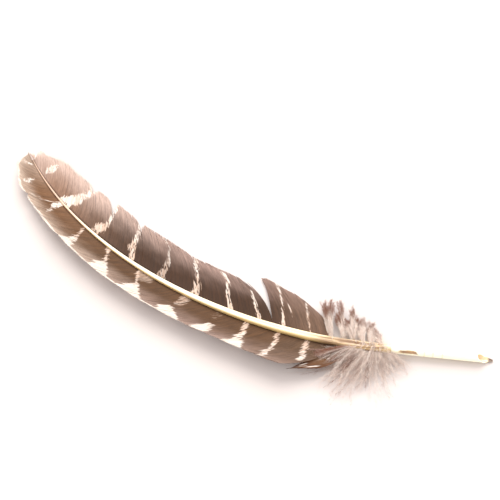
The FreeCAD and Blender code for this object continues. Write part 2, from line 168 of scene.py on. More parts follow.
# Loose locks of barbs: name, side, and the root run, length and angle to the shaft of their middle line
LOCKS = (
    ("leading_lock_1", LEADING, 77.5, 35, 35),
    ("leading_lock_2", LEADING, 73.4, 31, 42),
    ("trailing_lock_1", TRAILING, 83, 25, 69),
    ("trailing_lock_2", TRAILING, 79, 18, 76),
)
BLADE_WIDTH, BLADE_LIFT = 4.0, 5.5      # root width and raised end of the one lock that is a smooth blade

# Rows of tufts from the tip side to the barrel side: name and side of the row, then for each tuft the root
# run, reach in x and y from the root, full width and number of barbs
TUFTS = (
    ("down_tuft", LEADING, (
        (71, (-17, -35.5), 17, 60), (67.5, (-5.5, -35), 15, 58), (64, (5, -32), 14, 54),
        (60.5, (13, -23.5), 13, 50), (57.6, (16, -8.5), 12, 46))),
    ("semiplume", TRAILING, (
        (74, (-10.8, 18.9), 4.2, 44), (69, (-7.5, 14), 3.4, 36), (64.5, (-7.9, 13.2), 3.8, 34),
        (59.5, (-6.7, 7.5), 4.2, 30))),
)
TUFT_HEIGHT = 3.6           # the middle of every spray rises from its root to this height
# Locks that are sprays like the tufts: root run, reach in x and y from the root, full width, number of barbs
FLUFFY_LOCKS = {
    "trailing_lock_1": (86, (-14, 22.3), 4.4, 46),
    "trailing_lock_2": (79, (-10.2, 19), 3.8, 42),
    "leading_lock_2": (74, (-21.5, -21), 6.5, 72),
}
SPINE_POINTS, BARBULE_POINTS = 20, 4
SPINE_RADIUS = 0.07
SPRAY_ROOT_DEPTH = 0.6      # the barbs start this far inside the side of the shaft
LOCK_RAISE = 1.4            # the lock on the leading side arches this much higher, to clear the web
# The two kinds of spray: number of wisps, share of loose barbs, scatter in a wisp, shortest wisp, curl and
# wander of the barbs, spread of the roots, depth, droop of the ends; then the barbules: number per
# millimetre, crowding to the barb's end, shortest, longest, length factor at the root, its gain, radius
Spray = namedtuple("Spray", "wisps loose scatter least_wisp curl wander root_spread depth droop "
                            "barbules crowding shortest longest root_factor factor_gain radius")
PLUME = Spray(3, 0.07, 0.17, 0.86, 0.06, 0.30, 1.0, 1.8, 0.3, 5.4, 0.6, 0.7, 1.4, 0.55, 0.6, 0.040)
DOWN = Spray(9, 0.16, 0.07, 0.72, 0.20, 0.55, 2.2, 3.0, 1.6, 2.0, 0.9, 1.0, 3.2, 1.0, -0.45, 0.034)


# ---- The line and its frames ----
def direction(sweep, rise=0.0):
    """Unit vector from the nib towards the tip, swept towards -Y and climbing."""
    a, b = math.radians(sweep), math.radians(rise)
    return np.array([-math.cos(a) * math.cos(b), -math.sin(a) * math.cos(b), math.sin(b)])


BARREL_WAY = direction(BARREL_SWEEP, BARREL_RISE)
BARREL_TOP = NIB + BARREL_WAY * BARREL_LENGTH


def bow_samples(count=4001):
    """Points of the shaft's Bezier curve, their runs and their directions."""
    end = NIB + CURVE_END_OFFSET
    poles = (BARREL_TOP,
             BARREL_TOP + BARREL_WAY * BASE_PULL + np.array([0, 0, BASE_DIP]),
             end - direction(-TIP_SWEEP) * TIP_PULL + np.array([0, 0, TIP_DIP]),
             end)
    t = np.linspace(0, 1, count)[:, None]
    points = ((1 - t) ** 3 * poles[0] + 3 * (1 - t) ** 2 * t * poles[1]
              + 3 * (1 - t) * t ** 2 * poles[2] + t ** 3 * poles[3])
    steps = np.linalg.norm(np.diff(points, axis=0), axis=1)
    runs = BARREL_LENGTH + np.concatenate(([0.0], np.cumsum(steps)))
    ways = np.gradient(points, axis=0)
    return runs, points, ways / np.linalg.norm(ways, axis=1)[:, None]


BOW_RUNS, BOW_POINTS, BOW_WAYS = bow_samples()


def along_bow(run, samples, straight):
    """Value along the curve, or the straight barrel's value below it."""
    run = np.asarray(run, float)
    bowed = np.stack([np.interp(run, BOW_RUNS, samples[:, i]) for i in range(3)], -1)
    return np.where(run[..., None] <= BARREL_LENGTH, straight, bowed)


def shaft_point(run):
    """Point of the shaft's line, which goes on straight past the end of the curve."""
    run = np.asarray(run, float)
    beyond = np.maximum(0, run - BOW_RUNS[-1])[..., None] * BOW_WAYS[-1]
    return along_bow(run, BOW_POINTS, NIB + BARREL_WAY * run[..., None]) + beyond


def shaft_way(run):
    """Unit tangent towards the feather's tip."""
    way = along_bow(run, BOW_WAYS, BARREL_WAY)
    return way / np.linalg.norm(way, axis=-1, keepdims=True)


def outward(run, side):
    """Level unit vector square to the shaft, towards the given web."""
    way = shaft_way(run)
    across = np.stack([-way[..., 1], way[..., 0], 0 * way[..., 0]], -1)
    across /= np.linalg.norm(across, axis=-1, keepdims=True)
    return across * np.where(across[..., 1:2] * side > 0, 1, -1)


def between(stations, run, column):
    """Smoothly interpolated value of one column in a list of stations."""
    table = np.array(stations)
    run = np.clip(run, table[0, 0], table[-1, 0])
    low = np.clip(np.searchsorted(table[:, 0], run, side="right") - 1, 0, len(table) - 2)
    part = (run - table[low, 0]) / (table[low + 1, 0] - table[low, 0])
    part = 0.5 * part * part * (3 - 2 * part) + 0.5 * part
    return table[low, column] + (table[low + 1, column] - table[low, column]) * part


def root_point(run, side):
    """Where a barb leaves the side of the shaft."""
    reach = between(SHAFT_SECTIONS, run, 1) / 2 + WEB_CLEARANCE
    place = shaft_point(run) + outward(run, side) * reach[..., None]
    place[..., 2] += (ROOT_HEIGHT - 0.5) * between(SHAFT_SECTIONS, run, 2)
    return place


def root_frame(run, side):
    """Root point, way along the shaft and way outwards at a single run."""
    run = np.array([run])
    return root_point(run, side)[0], shaft_way(run)[0], outward(run, side)[0]


def rise(run, side, share):
    """Height that a barb gains by this share of its length."""
    fade = np.clip((SHAFT_END - run) / TIP_FADE, 0.15, 1)
    if side == LEADING:
        return LEADING_LIFT * fade * share ** 1.5
    lean = fade * (TRAILING_EDGE_HEIGHT - root_point(run, side)[..., 2]) * share
    return lean + TRAILING_LIFT * np.sin(np.pi * share) + 1.5 * (1 - fade) * share


def barb_curve(root, way, out, angle, length, share):
    """Point on a bowed barb that leaves its root at this angle to the shaft."""
    chord = way * np.cos(angle)[..., None] + out * np.sin(angle)[..., None]
    bulge = out * np.cos(angle)[..., None] - way * np.sin(angle)[..., None]
    bow = BARB_BOW * np.clip(angle / 0.5, 0, 1) * length * 4 * share * (1 - share)
    return root + chord * (length * share)[..., None] + bulge * bow[..., None]


def barb_point(run, side, share):
    """Point of the web's lower face, on the barb rooted at this run."""
    root = root_point(run, side)
    length = between(BARBS[side], run, 1)
    angle = np.radians(between(BARBS[side], run, 2) - CLOSING_ANGLE * ramp(286.0, 294.5, run))
    place = barb_curve(root, shaft_way(run), outward(run, side), angle, length, share)
    place[..., 2] = root[..., 2] + rise(run, side, share)
    return place


# ---- Helpers ----
def ramp(low, high, x):
    """Soft step from 0 at low to 1 at high, which falls with x if low is the higher of the two."""
    t = np.clip((x - low) / (high - low), 0, 1)
    return t * t * (3 - 2 * t)


def ripple(x, seed):
    """Smooth noise from -1 to 1 along one coordinate, with a period of about one unit."""
    x = np.asarray(x, float)
    table = np.random.default_rng(seed).uniform(-1, 1, 1024)
    low = np.floor(x).astype(int)
    t = x - low
    t = t * t * (3 - 2 * t)
    return table[low % 1024] * (1 - t) + table[(low + 1) % 1024] * t


def add_to_scene(name, data):
    """Object of this name that holds a mesh, light or camera."""
    made = bpy.data.objects.new(name, data)
    bpy.context.scene.collection.objects.link(made)
    return made


def make_object(name, vertices, faces, attributes, uv, material):
    """Mesh object from points in millimetres, groups of equal polygons, point attributes and loop UVs."""
    mesh = bpy.data.meshes.new(name)
    loops = np.concatenate([group.ravel() for group in faces])
    sizes = np.concatenate([np.full(len(group), group.shape[1]) for group in faces])
    starts = np.concatenate(([0], np.cumsum(sizes)[:-1]))
    mesh.vertices.add(len(vertices))
    mesh.vertices.foreach_set("co", (vertices * MM).astype(np.float32).ravel())
    mesh.loops.add(len(loops))
    mesh.loops.foreach_set("vertex_index", loops.astype(np.int32))
    mesh.polygons.add(len(starts))
    mesh.polygons.foreach_set("loop_start", starts.astype(np.int32))
    mesh.update(calc_edges=True)
    mesh.validate()
    mesh.shade_smooth()
    for key, values in attributes.items():
        kind, field = ("FLOAT_VECTOR", "vector") if values.ndim == 2 else ("FLOAT", "value")
        layer = mesh.attributes.new(key, kind, "POINT")
        layer.data.foreach_set(field, values.astype(np.float32).ravel())
    layer = mesh.uv_layers.new(name="OFBake")
    layer.data.foreach_set("uv", np.concatenate([group.reshape(-1) for group in uv]).astype(np.float32))
    mesh.materials.append(material)
    piece = add_to_scene(name, mesh)
    return piece


class Graph:
    """Short way to write a material's node tree."""

    def __init__(self, name):
        self.material = bpy.data.materials.new(name)
        self.material.use_nodes = True
        self.tree = self.material.node_tree
        self.tree.nodes.clear()

    def node(self, kind, settings=(), **inputs):
        made = self.tree.nodes.new(kind)
        for key, value in dict(settings).items():
            setattr(made, key, value)
        for key, value in inputs.items():
            name = key.replace("_", " ")
            socket = made.inputs[int(key[1:])] if key[0] == "i" and key[1:].isdigit() else made.inputs[name]
            if isinstance(value, bpy.types.NodeSocket):
                self.tree.links.new(value, socket)
            else:
                socket.default_value = value
        return made

    def attribute(self, name, output="Fac"):
        return self.node("ShaderNodeAttribute", {"attribute_name": name}).outputs[output]

    def math(self, operation, a, b=0.0):
        return self.node("ShaderNodeMath", {"operation": operation}, i0=a, i1=b).outputs[0]

    def add(self, a, b):
        return self.math("ADD", a, b)

    def times(self, a, b):
        return self.math("MULTIPLY", a, b)

    def shaken(self, value, noise, amount):
        """The value moved up and down by a noise."""
        return self.add(value, self.times(self.math("SUBTRACT", noise, 0.5), amount))

    def object_place(self):
        return self.node("ShaderNodeTexCoord").outputs["Object"]

    def ramp(self, value, low, high, to_low=0.0, to_high=1.0):
        """The value as a soft step from low to high."""
        return self.node("ShaderNodeMapRange", {"interpolation_type": "SMOOTHSTEP"}, Value=value,
                         From_Min=low, From_Max=high, To_Min=to_low, To_Max=to_high).outputs[0]

    def noise(self, vector, stretch, detail, roughness, scale=1.0):
        moved = self.node("ShaderNodeMapping", Vector=vector, Scale=stretch).outputs[0]
        return self.node("ShaderNodeTexNoise", Vector=moved, Scale=scale, Detail=detail,
                         Roughness=roughness).outputs[0]

    def mix(self, factor, a, b, blend="MIX"):
        made = self.node("ShaderNodeMix", {"data_type": "RGBA", "blend_type": blend, "clamp_factor": True},
                         i0=factor)
        for socket, value in ((made.inputs[6], a), (made.inputs[7], b)):
            if isinstance(value, bpy.types.NodeSocket):
                self.tree.links.new(value, socket)
            else:
                socket.default_value = (*value, 1.0)
        return made.outputs[2]

    def finish(self, color, roughness, bump=None, bump_strength=0.3, bump_distance=0.00005, **extra):
        shader = self.node("ShaderNodeBsdfPrincipled", Roughness=roughness, **extra)
        self.tree.links.new(color, shader.inputs["Base Color"])
        if bump is not None:
            made = self.node("ShaderNodeBump", Height=bump, Strength=bump_strength, Distance=bump_distance)
            self.tree.links.new(made.outputs[0], shader.inputs["Normal"])
        out = self.node("ShaderNodeOutputMaterial")
        self.tree.links.new(shader.outputs[0], out.inputs[0])
        return self.material


def srgb(*color):
    """Linear colour from display values of 0 to 255, none of them near black."""
    return tuple(((value / 255 + 0.055) / 1.055) ** 2.4 for value in color)


# ---- Materials ----
def lit(color):
    """Surface colour that is seen as this display colour in the bright light over the table."""
    return tuple(max(0.005, (value - haze) / LIGHT_GAIN) for value, haze in zip(srgb(*color), LIGHT_HAZE))


LIGHT_GAIN, LIGHT_HAZE = 1.9, (0.02, 0.024, 0.03)
BAR_WHITE = srgb(225, 219, 211)
BAR_TAN = srgb(196, 168, 148)
KERATIN_GLOW = {"Subsurface_Weight": 0.15, "Subsurface_Radius": (0.004, 0.0035, 0.002),
                "Subsurface_Scale": 0.3}


def barb_material(name, tip_shift, tip_fade, *colors):
    """Barred vane: colours at a barb's root and end in mid-feather, at the tip and at the base of the vane,
    and beside the shaft. The shift and the fade turn the vane's tip to its end colour.
    """
    near, far, tip_near, tip_far, base_near, base_far, beside_shaft = (lit(color) for color in colors)
    g = Graph(name)
    grain = g.attribute("grain", "Vector")
    share, run, pale = g.attribute("share"), g.attribute("run"), g.attribute("pale")
    streak = g.noise(grain, (0.9, 0.07, 1), 5, 0.65)
    fine = g.noise(grain, (3.4, 0.35, 1), 3, 0.6)
    cloud = g.noise(grain, (0.08, 0.10, 1), 2, 0.5)
    reach = g.shaken(share, cloud, 0.4)
    reach = g.add(reach, g.ramp(run, 200, 250, 0, tip_shift))
    reach = g.math("SUBTRACT", reach, g.ramp(run, 165, 130, 0, 0.08))
    outwards = g.ramp(reach, 0.2, 1.02)
    inner = g.mix(g.ramp(run, 202, 278), near, tip_near)
    outer = g.mix(g.ramp(run, 150, 250), far, tip_far)
    color = g.mix(outwards, inner, outer)
    color = g.mix(g.ramp(run, 122, 96), color, g.mix(outwards, base_near, base_far))
    color = g.mix(g.ramp(run, 270, 290, 0, tip_fade), color, tip_far)
    shade = g.add(g.ramp(streak, 0.25, 0.75, 0.72, 1.28), g.ramp(fine, 0.2, 0.8, -0.18, 0.18))
    value = g.node("ShaderNodeCombineColor", Red=shade, Green=shade, Blue=shade).outputs[0]
    color = g.mix(1, color, value, "MULTIPLY")
    color = g.mix(g.ramp(share, 0, 0.05, 0.6, 0), color, beside_shaft)
    near_shaft = g.times(g.ramp(share, 0.55, 0.2, 0, 0.2), g.ramp(run, 262, 235))
    worn = g.add(g.add(streak, g.times(fine, 0.6)), near_shaft)
    bar = g.mix(g.ramp(worn, 0.6, 1.1), BAR_WHITE, BAR_TAN)
    color = g.mix(g.ramp(g.shaken(pale, fine, 0.9), 0.15, 0.85), color, bar)
    bump = g.add(streak, g.times(fine, 0.7))
    return g.finish(color, 0.65, bump, 0.35, 0.00006, Sheen_Weight=0.05, Specular_IOR_Level=0.25)


def down_material(name, pale, grey, brown):
    """Down: pale fluff, greyer in places, brown where the tips are pigmented."""
    g = Graph(name)
    grain = g.attribute("grain", "Vector")
    streak = g.noise(grain, (1, 0.25, 1), 3, 0.6)
    color = g.mix(g.ramp(streak, 0.3, 0.75), pale, grey)
    color = g.mix(g.attribute("brown"), color, brown)
    return g.finish(color, 0.8, streak, 0.2, 0.00002, Specular_IOR_Level=0.15)


def shaft_material():
    """Cream keratin, glossy, with fine lengthwise striations; tan and coarser towards the down; painted shade
    on the leading side.
    """
    g = Graph("shaft_keratin_fibres")
    grain = g.attribute("grain", "Vector")
    run, face = g.attribute("run"), g.attribute("face")
    fibre = g.noise(grain, (3.2, 0.035, 1), 5, 0.65)
    coarse = g.noise(grain, (1.1, 0.06, 1), 4, 0.6)
    color = g.mix(g.ramp(fibre, 0.3, 0.8), srgb(236, 230, 212), srgb(224, 210, 180))
    color = g.mix(g.ramp(run, 185, 105, 0, 0.6), color, srgb(226, 206, 154))
    color = g.mix(g.ramp(face, 0.55, 0.95, 0, 0.5), color, srgb(214, 186, 122))
    # Painted shade: a deeper yellow over the leading side, which faces away from the window.
    color = g.mix(g.ramp(face, -0.1, -0.85, 0, 0.85), color, srgb(206, 176, 112))
    tan = g.mix(g.ramp(coarse, 0.40, 0.58), srgb(198, 168, 124), srgb(132, 98, 66))
    base = g.times(g.ramp(run, 102, 86), g.ramp(run, 54, 60))
    worn = g.times(base, g.ramp(coarse, 0.30, 0.52, 0.45, 1))
    worn = g.times(worn, g.ramp(face, 0.5, 0.9, 1, 0.35))
    color = g.mix(worn, color, tan)
    tip = g.ramp(run, 215, 282)
    color = g.mix(g.times(tip, 0.9), color, srgb(196, 158, 134))
    bump = g.add(fibre, g.times(coarse, 0.6))
    return g.finish(color, 0.36, bump, 0.35, 0.00008, Coat_Weight=0.25, Coat_Roughness=0.25, **KERATIN_GLOW)


def barrel_coordinates(g):
    """Run, sideways place and height on the barrel in millimetres, and its lengthwise grain."""
    across = np.cross([0, 0, 1], BARREL_WAY)
    across /= np.linalg.norm(across)
    up = np.cross(BARREL_WAY, across)
    offset = g.node("ShaderNodeVectorMath", {"operation": "SUBTRACT"}, i0=g.object_place(),
                    i1=tuple(NIB * MM)).outputs[0]
    local = []
    for axis in (BARREL_WAY, across, up):
        product = g.node("ShaderNodeVectorMath", {"operation": "DOT_PRODUCT"}, i0=offset, i1=tuple(axis))
        local.append(g.times(product.outputs["Value"], 1 / MM))
    grain = g.node("ShaderNodeCombineXYZ", X=local[1], Y=local[0], Z=local[2]).outputs[0]
    return *local, grain


def barrel_material(name):
    """Pale yellow, slightly clear keratin, with painted shade on its underside; dried pulp shows through near
    the top, and painted shade darkens the cut end.
    """
    g = Graph(name)
    run, across, height, grain = barrel_coordinates(g)
    fibre = g.noise(grain, (2.4, 0.05, 2.4), 4, 0.6)
    cloud = g.noise(grain, (0.5, 0.18, 0.5), 3, 0.5)
    color = g.mix(g.ramp(fibre, 0.3, 0.75), srgb(255, 252, 230), srgb(251, 245, 212))
    # Painted shade: yellower towards the underside, away from the light.
    color = g.mix(g.ramp(height, -0.6, -2.3, 0, 0.5), color, srgb(250, 238, 188))
    ragged = g.shaken(run, cloud, 7)
    pulp = g.times(g.ramp(ragged, 40, 41.5), g.ramp(ragged, 50.5, 48.5))
    seen = g.math("SUBTRACT", g.times(height, 0.5), g.times(across, 0.87))
    seen = g.shaken(seen, cloud, 1.2)
    facing = g.times(g.ramp(seen, -1.8, -1.2), g.ramp(seen, 0.4, -0.2))
    pulp = g.times(g.times(pulp, facing), 0.92)
    color = g.mix(pulp, color, g.mix(g.ramp(cloud, 0.4, 0.62), srgb(170, 124, 70), srgb(126, 86, 46)))
    for cap in (26, 31, 35.5):
        near = g.math("ABSOLUTE", g.math("SUBTRACT", run, cap + 1))
        color = g.mix(g.ramp(near, 0.7, 0.15, 0, 0.35), color, srgb(228, 206, 150))
    radius = g.math("SQRT", g.add(g.math("POWER", across, 2), g.math("POWER", height, 2)))
    inside = g.ramp(radius, 2.05, 1.85)
    cut = g.mix(g.ramp(fibre, 0.3, 0.7), srgb(250, 232, 198), srgb(236, 202, 158))
    color = g.mix(g.times(inside, g.ramp(run, 14, 9)), color, cut)
    # Painted shade: dark brown over the last few millimetres of the cut end, for the dark inside of the open
    # tube.
    painted_end_shade = g.times(g.ramp(g.shaken(run, cloud, 3), 3.6, 2.2), 0.9)
    color = g.mix(painted_end_shade, color, g.mix(g.ramp(fibre, 0.35, 0.65), srgb(92, 56, 34), srgb(58, 34, 22)))
    return g.finish(color, 0.3, fibre, 0.25, 0.00006, Coat_Weight=0.3, Coat_Roughness=0.2, **KERATIN_GLOW)


def plain_grain_material(name, light, dark, scale, roughness):
    """Mottled material for what is inside the quill."""
    g = Graph(name)
    cloud = g.noise(g.object_place(), (1, 1, 1), 5, 0.6, scale)
    return g.finish(g.mix(g.ramp(cloud, 0.3, 0.7), light, dark), roughness, cloud, 0.5, 0.0002)


MATERIALS = {
    LEADING: barb_material(
        "leading_barbs_brown", -0.10, 0.5, (119, 88, 67), (190, 162, 150), (158, 117, 88), (240, 214, 194),
        (122, 95, 77), (172, 144, 130), (84, 62, 48)),
    TRAILING: barb_material(
        "trailing_barbs_grey", 0.10, 0.7, (89, 66, 53), (198, 167, 156), (182, 144, 122), (248, 217, 202),
        (136, 108, 92), (180, 148, 135), (74, 56, 44)),
    "blade": barb_material(
        "dark_lock_barbs", 0.0, 0.0, (150, 112, 84), (128, 84, 54), (150, 112, 84), (128, 84, 54),
        (146, 108, 82), (118, 76, 50), (80, 58, 46)),
    "down": down_material("down_fluff", srgb(255, 248, 240), srgb(230, 203, 187), srgb(124, 62, 20)),
    "shaft": shaft_material(),
}


# ---- Sheets of barbs ----
def pale_bars(side, run, share, barb):
    """How pale the vane is at each point: the bars, ragged from barb to barb, and the worn pale edge."""
    jitter = 0.6 * ripple(barb / 2.7, 11 + side) + 0.8 * ripple(barb, 12 + side)
    jitter = jitter + 0.6 * ripple(share * 9 + barb * 7.31, 13 + side)
    flecks = ripple(share * 24 + barb * 3.77, 14 + side)
    strands = ripple(share * 15 + barb * 5.39, 15 + side)
    pale = np.zeros_like(run)
    for strength, *nodes in BARS[side]:
        shares, runs, widths = np.array(nodes).T
        centre = np.interp(share, shares, runs)
        if side == TRAILING:
            slim = 0.76 + 0.28 * ramp(215, 250, run)
        else:
            slim = 0.82 + 0.18 * share
        width = np.interp(share, shares, widths) * np.maximum(slim, ramp(235, 255, run))
        depth = width / 2 - np.abs(run - centre) + jitter * np.minimum(1.0, 0.3 + width / 6)
        inside = ramp(-0.4, 0.7, depth)
        inside = inside * (1 - 0.8 * ramp(0.0, 0.7, flecks) * ramp(9.0, 4.0, width))
        inside = np.maximum(inside, 0.55 * ramp(-1.6, 0.0, depth) * ramp(0.45, 0.85, strands))
        ends = ramp(shares[0] - 0.05, shares[0] + 0.01, share + 0.03 * jitter)
        ends = ends * ramp(shares[-1] + 0.05, shares[-1] - 0.01, share + 0.03 * jitter)
        pale = np.maximum(pale, strength * inside * ends)
    if side == LEADING:
        margin = 1.08 - 0.12 * ramp(134, 150, run) - 0.02 * ramp(212, 240, run)
        margin = margin + 0.03 * ripple(run / 6.0, 21) + 0.02 * jitter
        pale = np.maximum(pale, 0.95 * ramp(margin - 0.04, margin + 0.05, share))
    else:
        margin = 1.02 - 0.10 * ramp(205, 255, run) + 0.03 * ripple(run / 5.0, 22) + 0.02 * jitter
        pale = np.maximum(pale, 0.6 * ramp(margin - 0.08, margin + 0.06, share))
        faded = 0.7 * ramp(0.45, 0.95, share + 0.03 * jitter) * ramp(274, 289, run)
        pale = np.maximum(pale, faded)
    return pale


def outline(side, run):
    """Share of the full barb length that is left at this run, with the worn notches."""
    left = np.full_like(run, 1.06 if side == LEADING else 1.0)
    for notch, depth, width in NOTCHES[side]:
        gone = np.clip((notch - run) / width, 0, 1)
        worn = depth * (1 - gone) ** 1.4
        left = np.where((run <= notch) & (run > notch - width), left - worn, left)
        rounded = 0.05 * np.clip(1 - (run - notch) / 2.5, 0, 1) ** 2
        left = np.where(run > notch, left - rounded, left)
    left = left - 0.10 * ramp(282, 293, run)
    if side == TRAILING:
        left = left - 0.42 * np.clip((128.5 - run) / 10.5, 0, 1) ** 2.2 * (run > BIG_SPLIT)
        left = left - 0.10 * np.clip((run - 113.5) / 5.0, 0, 1) ** 1.5 * (run <= BIG_SPLIT)
        left = left - 0.30 * np.clip((90.5 - run) / 4.5, 0, 1) ** 1.3
    return left + 0.012 * ripple(run / 7.0, 31 + side) + 0.006 * ripple(run / 1.3, 33 + side)


def slit_layout(count, seed, spacing, deep_share):
    """Small partings between clumps of barbs: barb boundary, share where it opens, width at the edge."""
    rng = np.random.default_rng(seed)
    slits = []
    barb = rng.integers(3, 9)
    while barb < count - 2:
        deep = rng.random() < deep_share
        start = rng.uniform(0.40, 0.72) if deep else rng.uniform(0.74, 0.94)
        width = rng.uniform(0.20, 0.55) if deep else rng.uniform(0.15, 0.70)
        slits.append((int(barb), start, width))
        barb += max(3, int(rng.normal(spacing, spacing / 3)))
    return slits


def part_columns(columns, slits):
    """Vertex numbers on both sides of every column, which part at the slits, and where the added ones start.

    Returns the numbers as seen from the next column and from the one before, the vertices that the added
    ones are copies of, the first open row of each slit's column, and the number of vertices.
    """
    left = np.arange((ROWS + 1) * columns).reshape(ROWS + 1, columns)
    right = left.copy()
    total = left.size
    source = [np.zeros(0, int)]
    first_rows = {column: int(np.floor(start * ROWS)) for column, start, _ in slits}
    for column, row in first_rows.items():
        open_rows = np.arange(row + 1, ROWS + 1)
        source.append(left[open_rows, column].copy())
        left[open_rows, column] = total + np.arange(len(open_rows))
        total += len(open_rows)
    return left, right, np.concatenate(source), first_rows, total


def opening(share, start, width):
    """Width of a slit along the barbs, and the share of it that is open."""
    part = np.clip((share - start) / max(1e-6, 1 - start), 0, 1)
    row = np.floor(start * ROWS) / ROWS
    part = np.where(share <= row + 1e-9, 0, part)
    return width * part ** 1.2, part


def spread_clumps(columns, slits, first_rows, share, rng):
    """How far every vertex moves along the shaft and upwards, then the same for the added vertices."""
    moves = np.zeros((2, ROWS + 1, columns))
    added = [np.zeros((2, 0))]
    partings = [(0, NEVER, 0.0), *slits, (columns - 1, NEVER, 0.0)]
    for (low, low_start, low_width), (high, high_start, high_width) in zip(partings, partings[1:]):
        span = np.arange(low, high + 1)
        t = (span - low) / (high - low)
        low_open, low_part = opening(share, low_start, low_width)
        high_open, high_part = opening(share, high_start, high_width)
        shift = (low_open / 2) * (1 - t) ** 2 - (high_open / 2) * t ** 2
        lift = rng.uniform(-0.25, 0.45) * (low_part * (1 - t) + high_part * t)
        clump = np.stack((shift, lift))
        if high in first_rows:
            added.append(clump[:, first_rows[high] + 1:, -1])
            span, clump = span[:-1], clump[..., :-1]
        moves[..., span] = clump
    return moves, np.concatenate(added, axis=1)


def sheet_faces(left, right, first_rows, total):
    """Quadrilaterals of the sheet's top and of the walls round its rim and its slits."""
    top_faces = np.stack((right[:-1, :-1], left[:-1, 1:], left[1:, 1:], right[1:, :-1]), -1).reshape(-1, 4)
    edges = [(right[0, :-1], left[0, 1:]), (left[-1, 1:], right[-1, :-1]),
             (right[1:, 0], right[:-1, 0]), (left[:-1, -1], left[1:, -1])]
    for column, row in first_rows.items():
        edges.append((left[row:-1, column], left[row + 1:, column]))
        edges.append((right[row + 1:, column], right[row:-1, column]))
    first, second = np.concatenate([np.stack(ends) for ends in edges], axis=1)
    return top_faces, np.stack((second, first, first + total, second + total), -1)


def sheet_of_barbs(name, side, roots, barbs_at, slits, seed, material):
    """Closed sheet of zipped barbs with a ridge along each barb, small partings and a serrated edge.

    roots are the runs of its columns, and barbs_at(across, share, barb) gives its lower face, the shaft's
    way and the point attributes for positions from 0 to 1 across it.
    """
    rng = np.random.default_rng(seed)
    columns = len(roots)
    count = columns // COLUMNS_PER_BARB
    index = np.arange(columns)
    phase = (index % COLUMNS_PER_BARB) / COLUMNS_PER_BARB
    ridge = np.sin(np.pi * phase)
    barb = np.minimum(index // COLUMNS_PER_BARB, count - 1)
    fringe = np.where(phase == 0, rng.uniform(0.03, 0.07, columns), 0.012) * (1 - ridge)
    fringe = fringe + rng.uniform(0.0, 0.022, count)[barb]
    share = np.linspace(0, 1, ROWS + 1)[:, None]
    edge_share = share * (1 - fringe * share ** 10)
    across = np.broadcast_to(index / (columns - 1), (ROWS + 1, columns))

    slits = [(COLUMNS_PER_BARB * boundary, start, width) for boundary, start, width in slits]
    left, right, source, first_rows, total = part_columns(columns, slits)
    (shift, lift), added = spread_clumps(columns, slits, first_rows, share, rng)
    surface, way, values = barbs_at(across, edge_share, np.broadcast_to(barb, across.shape))
    wave = 0.22 * ripple(across * count / 14.0, seed + 5) * share ** 2
    surface = surface - way * shift[..., None]
    surface[..., 2] += SHEET_RAISE + lift + wave
    cover = 0.4 + (1 - between(BARE_WIDTH, roots, 1)) * between(SHAFT_SECTIONS, roots, 1) / 2
    surface[0] = surface[0] - outward(roots, side) * cover[:, None]
    top, bottom = surface.copy(), surface.copy()
    fullness = 0.35 + 0.65 * np.sin(np.pi * np.clip(share, 0.05, 0.95)) ** 0.5
    top[..., 2] += RIDGE_HEIGHT * ridge * fullness
    bottom[..., 2] -= SHEET_THICKNESS + 0.04 * ridge
    bottom[..., 2] = np.maximum(bottom[..., 2], TABLE_GAP)
    top[..., 2] = np.maximum(top[..., 2], bottom[..., 2] + LEAST_THICKNESS)

    delta = added[0] - shift.reshape(-1)[source]
    raised = added[1] - lift.reshape(-1)[source]
    vertices = []
    for face, lowest in ((top, TABLE_GAP + LEAST_THICKNESS), (bottom, TABLE_GAP)):
        own = face.reshape(-1, 3)
        more = own[source] - way.reshape(-1, 3)[source] * delta[:, None]
        more[:, 2] = np.maximum(more[:, 2] + raised, lowest)
        vertices += [own, more]

    def with_added(value):
        """The values of all vertices of one face, whose added ones are copies."""
        flat = value.reshape(total - len(source), *value.shape[2:])
        return np.concatenate((flat, flat[source]))

    attributes = {key: np.concatenate([with_added(value)] * 2) for key, value in values.items()}
    plan = with_added(np.stack((across, np.broadcast_to(share, across.shape)), -1))
    uv_top = plan * (0.98, 0.48) + (0.01, 0.51)
    uv_bottom = plan * (0.98, 0.48) + (0.01, 0.01)
    top_faces, walls = sheet_faces(left, right, first_rows, total)
    bottom_faces = top_faces[:, ::-1]
    groups = [top_faces, bottom_faces + total, walls]
    uvs = [uv_top[top_faces], uv_bottom[bottom_faces], uv_top[walls % total]]
    if side == LEADING:
        groups = [group[:, ::-1] for group in groups]
        uvs = [group[:, ::-1] for group in uvs]
    return make_object(f"{name}_barbs", np.concatenate(vertices), groups, attributes, uvs, material)


def build_web(side, name, tip_run, base_run, gapes, seed):
    """One web of the vane, from its tip side to its barrel side."""
    tip_gape, base_gape, sharpness = gapes
    count = int(round((tip_run - base_run) / BARB_PITCH))

    def barbs_at(across, share, barb):
        run = tip_run - (tip_run - base_run) * across
        reach = share * outline(side, run)
        gape = base_gape * across ** 3 - tip_gape * (1 - across) ** 3
        way = shaft_way(run)
        place = barb_point(run, side, reach) + way * (gape * reach ** sharpness)[..., None]
        pale = pale_bars(side, run, reach, barb + tip_run * 3)
        length = between(BARBS[side], run, 1)
        grain = np.stack((run, reach * length, np.full_like(run, side * 40.0)), -1)
        return place, way, {"share": reach, "run": run, "pale": pale, "grain": grain}

    slits = slit_layout(count, seed, 9.0, 0.16)
    roots = tip_run - (tip_run - base_run) * np.linspace(0, 1, COLUMNS_PER_BARB * count + 1)
    return sheet_of_barbs(name, side, roots, barbs_at, slits, seed, MATERIALS[side])


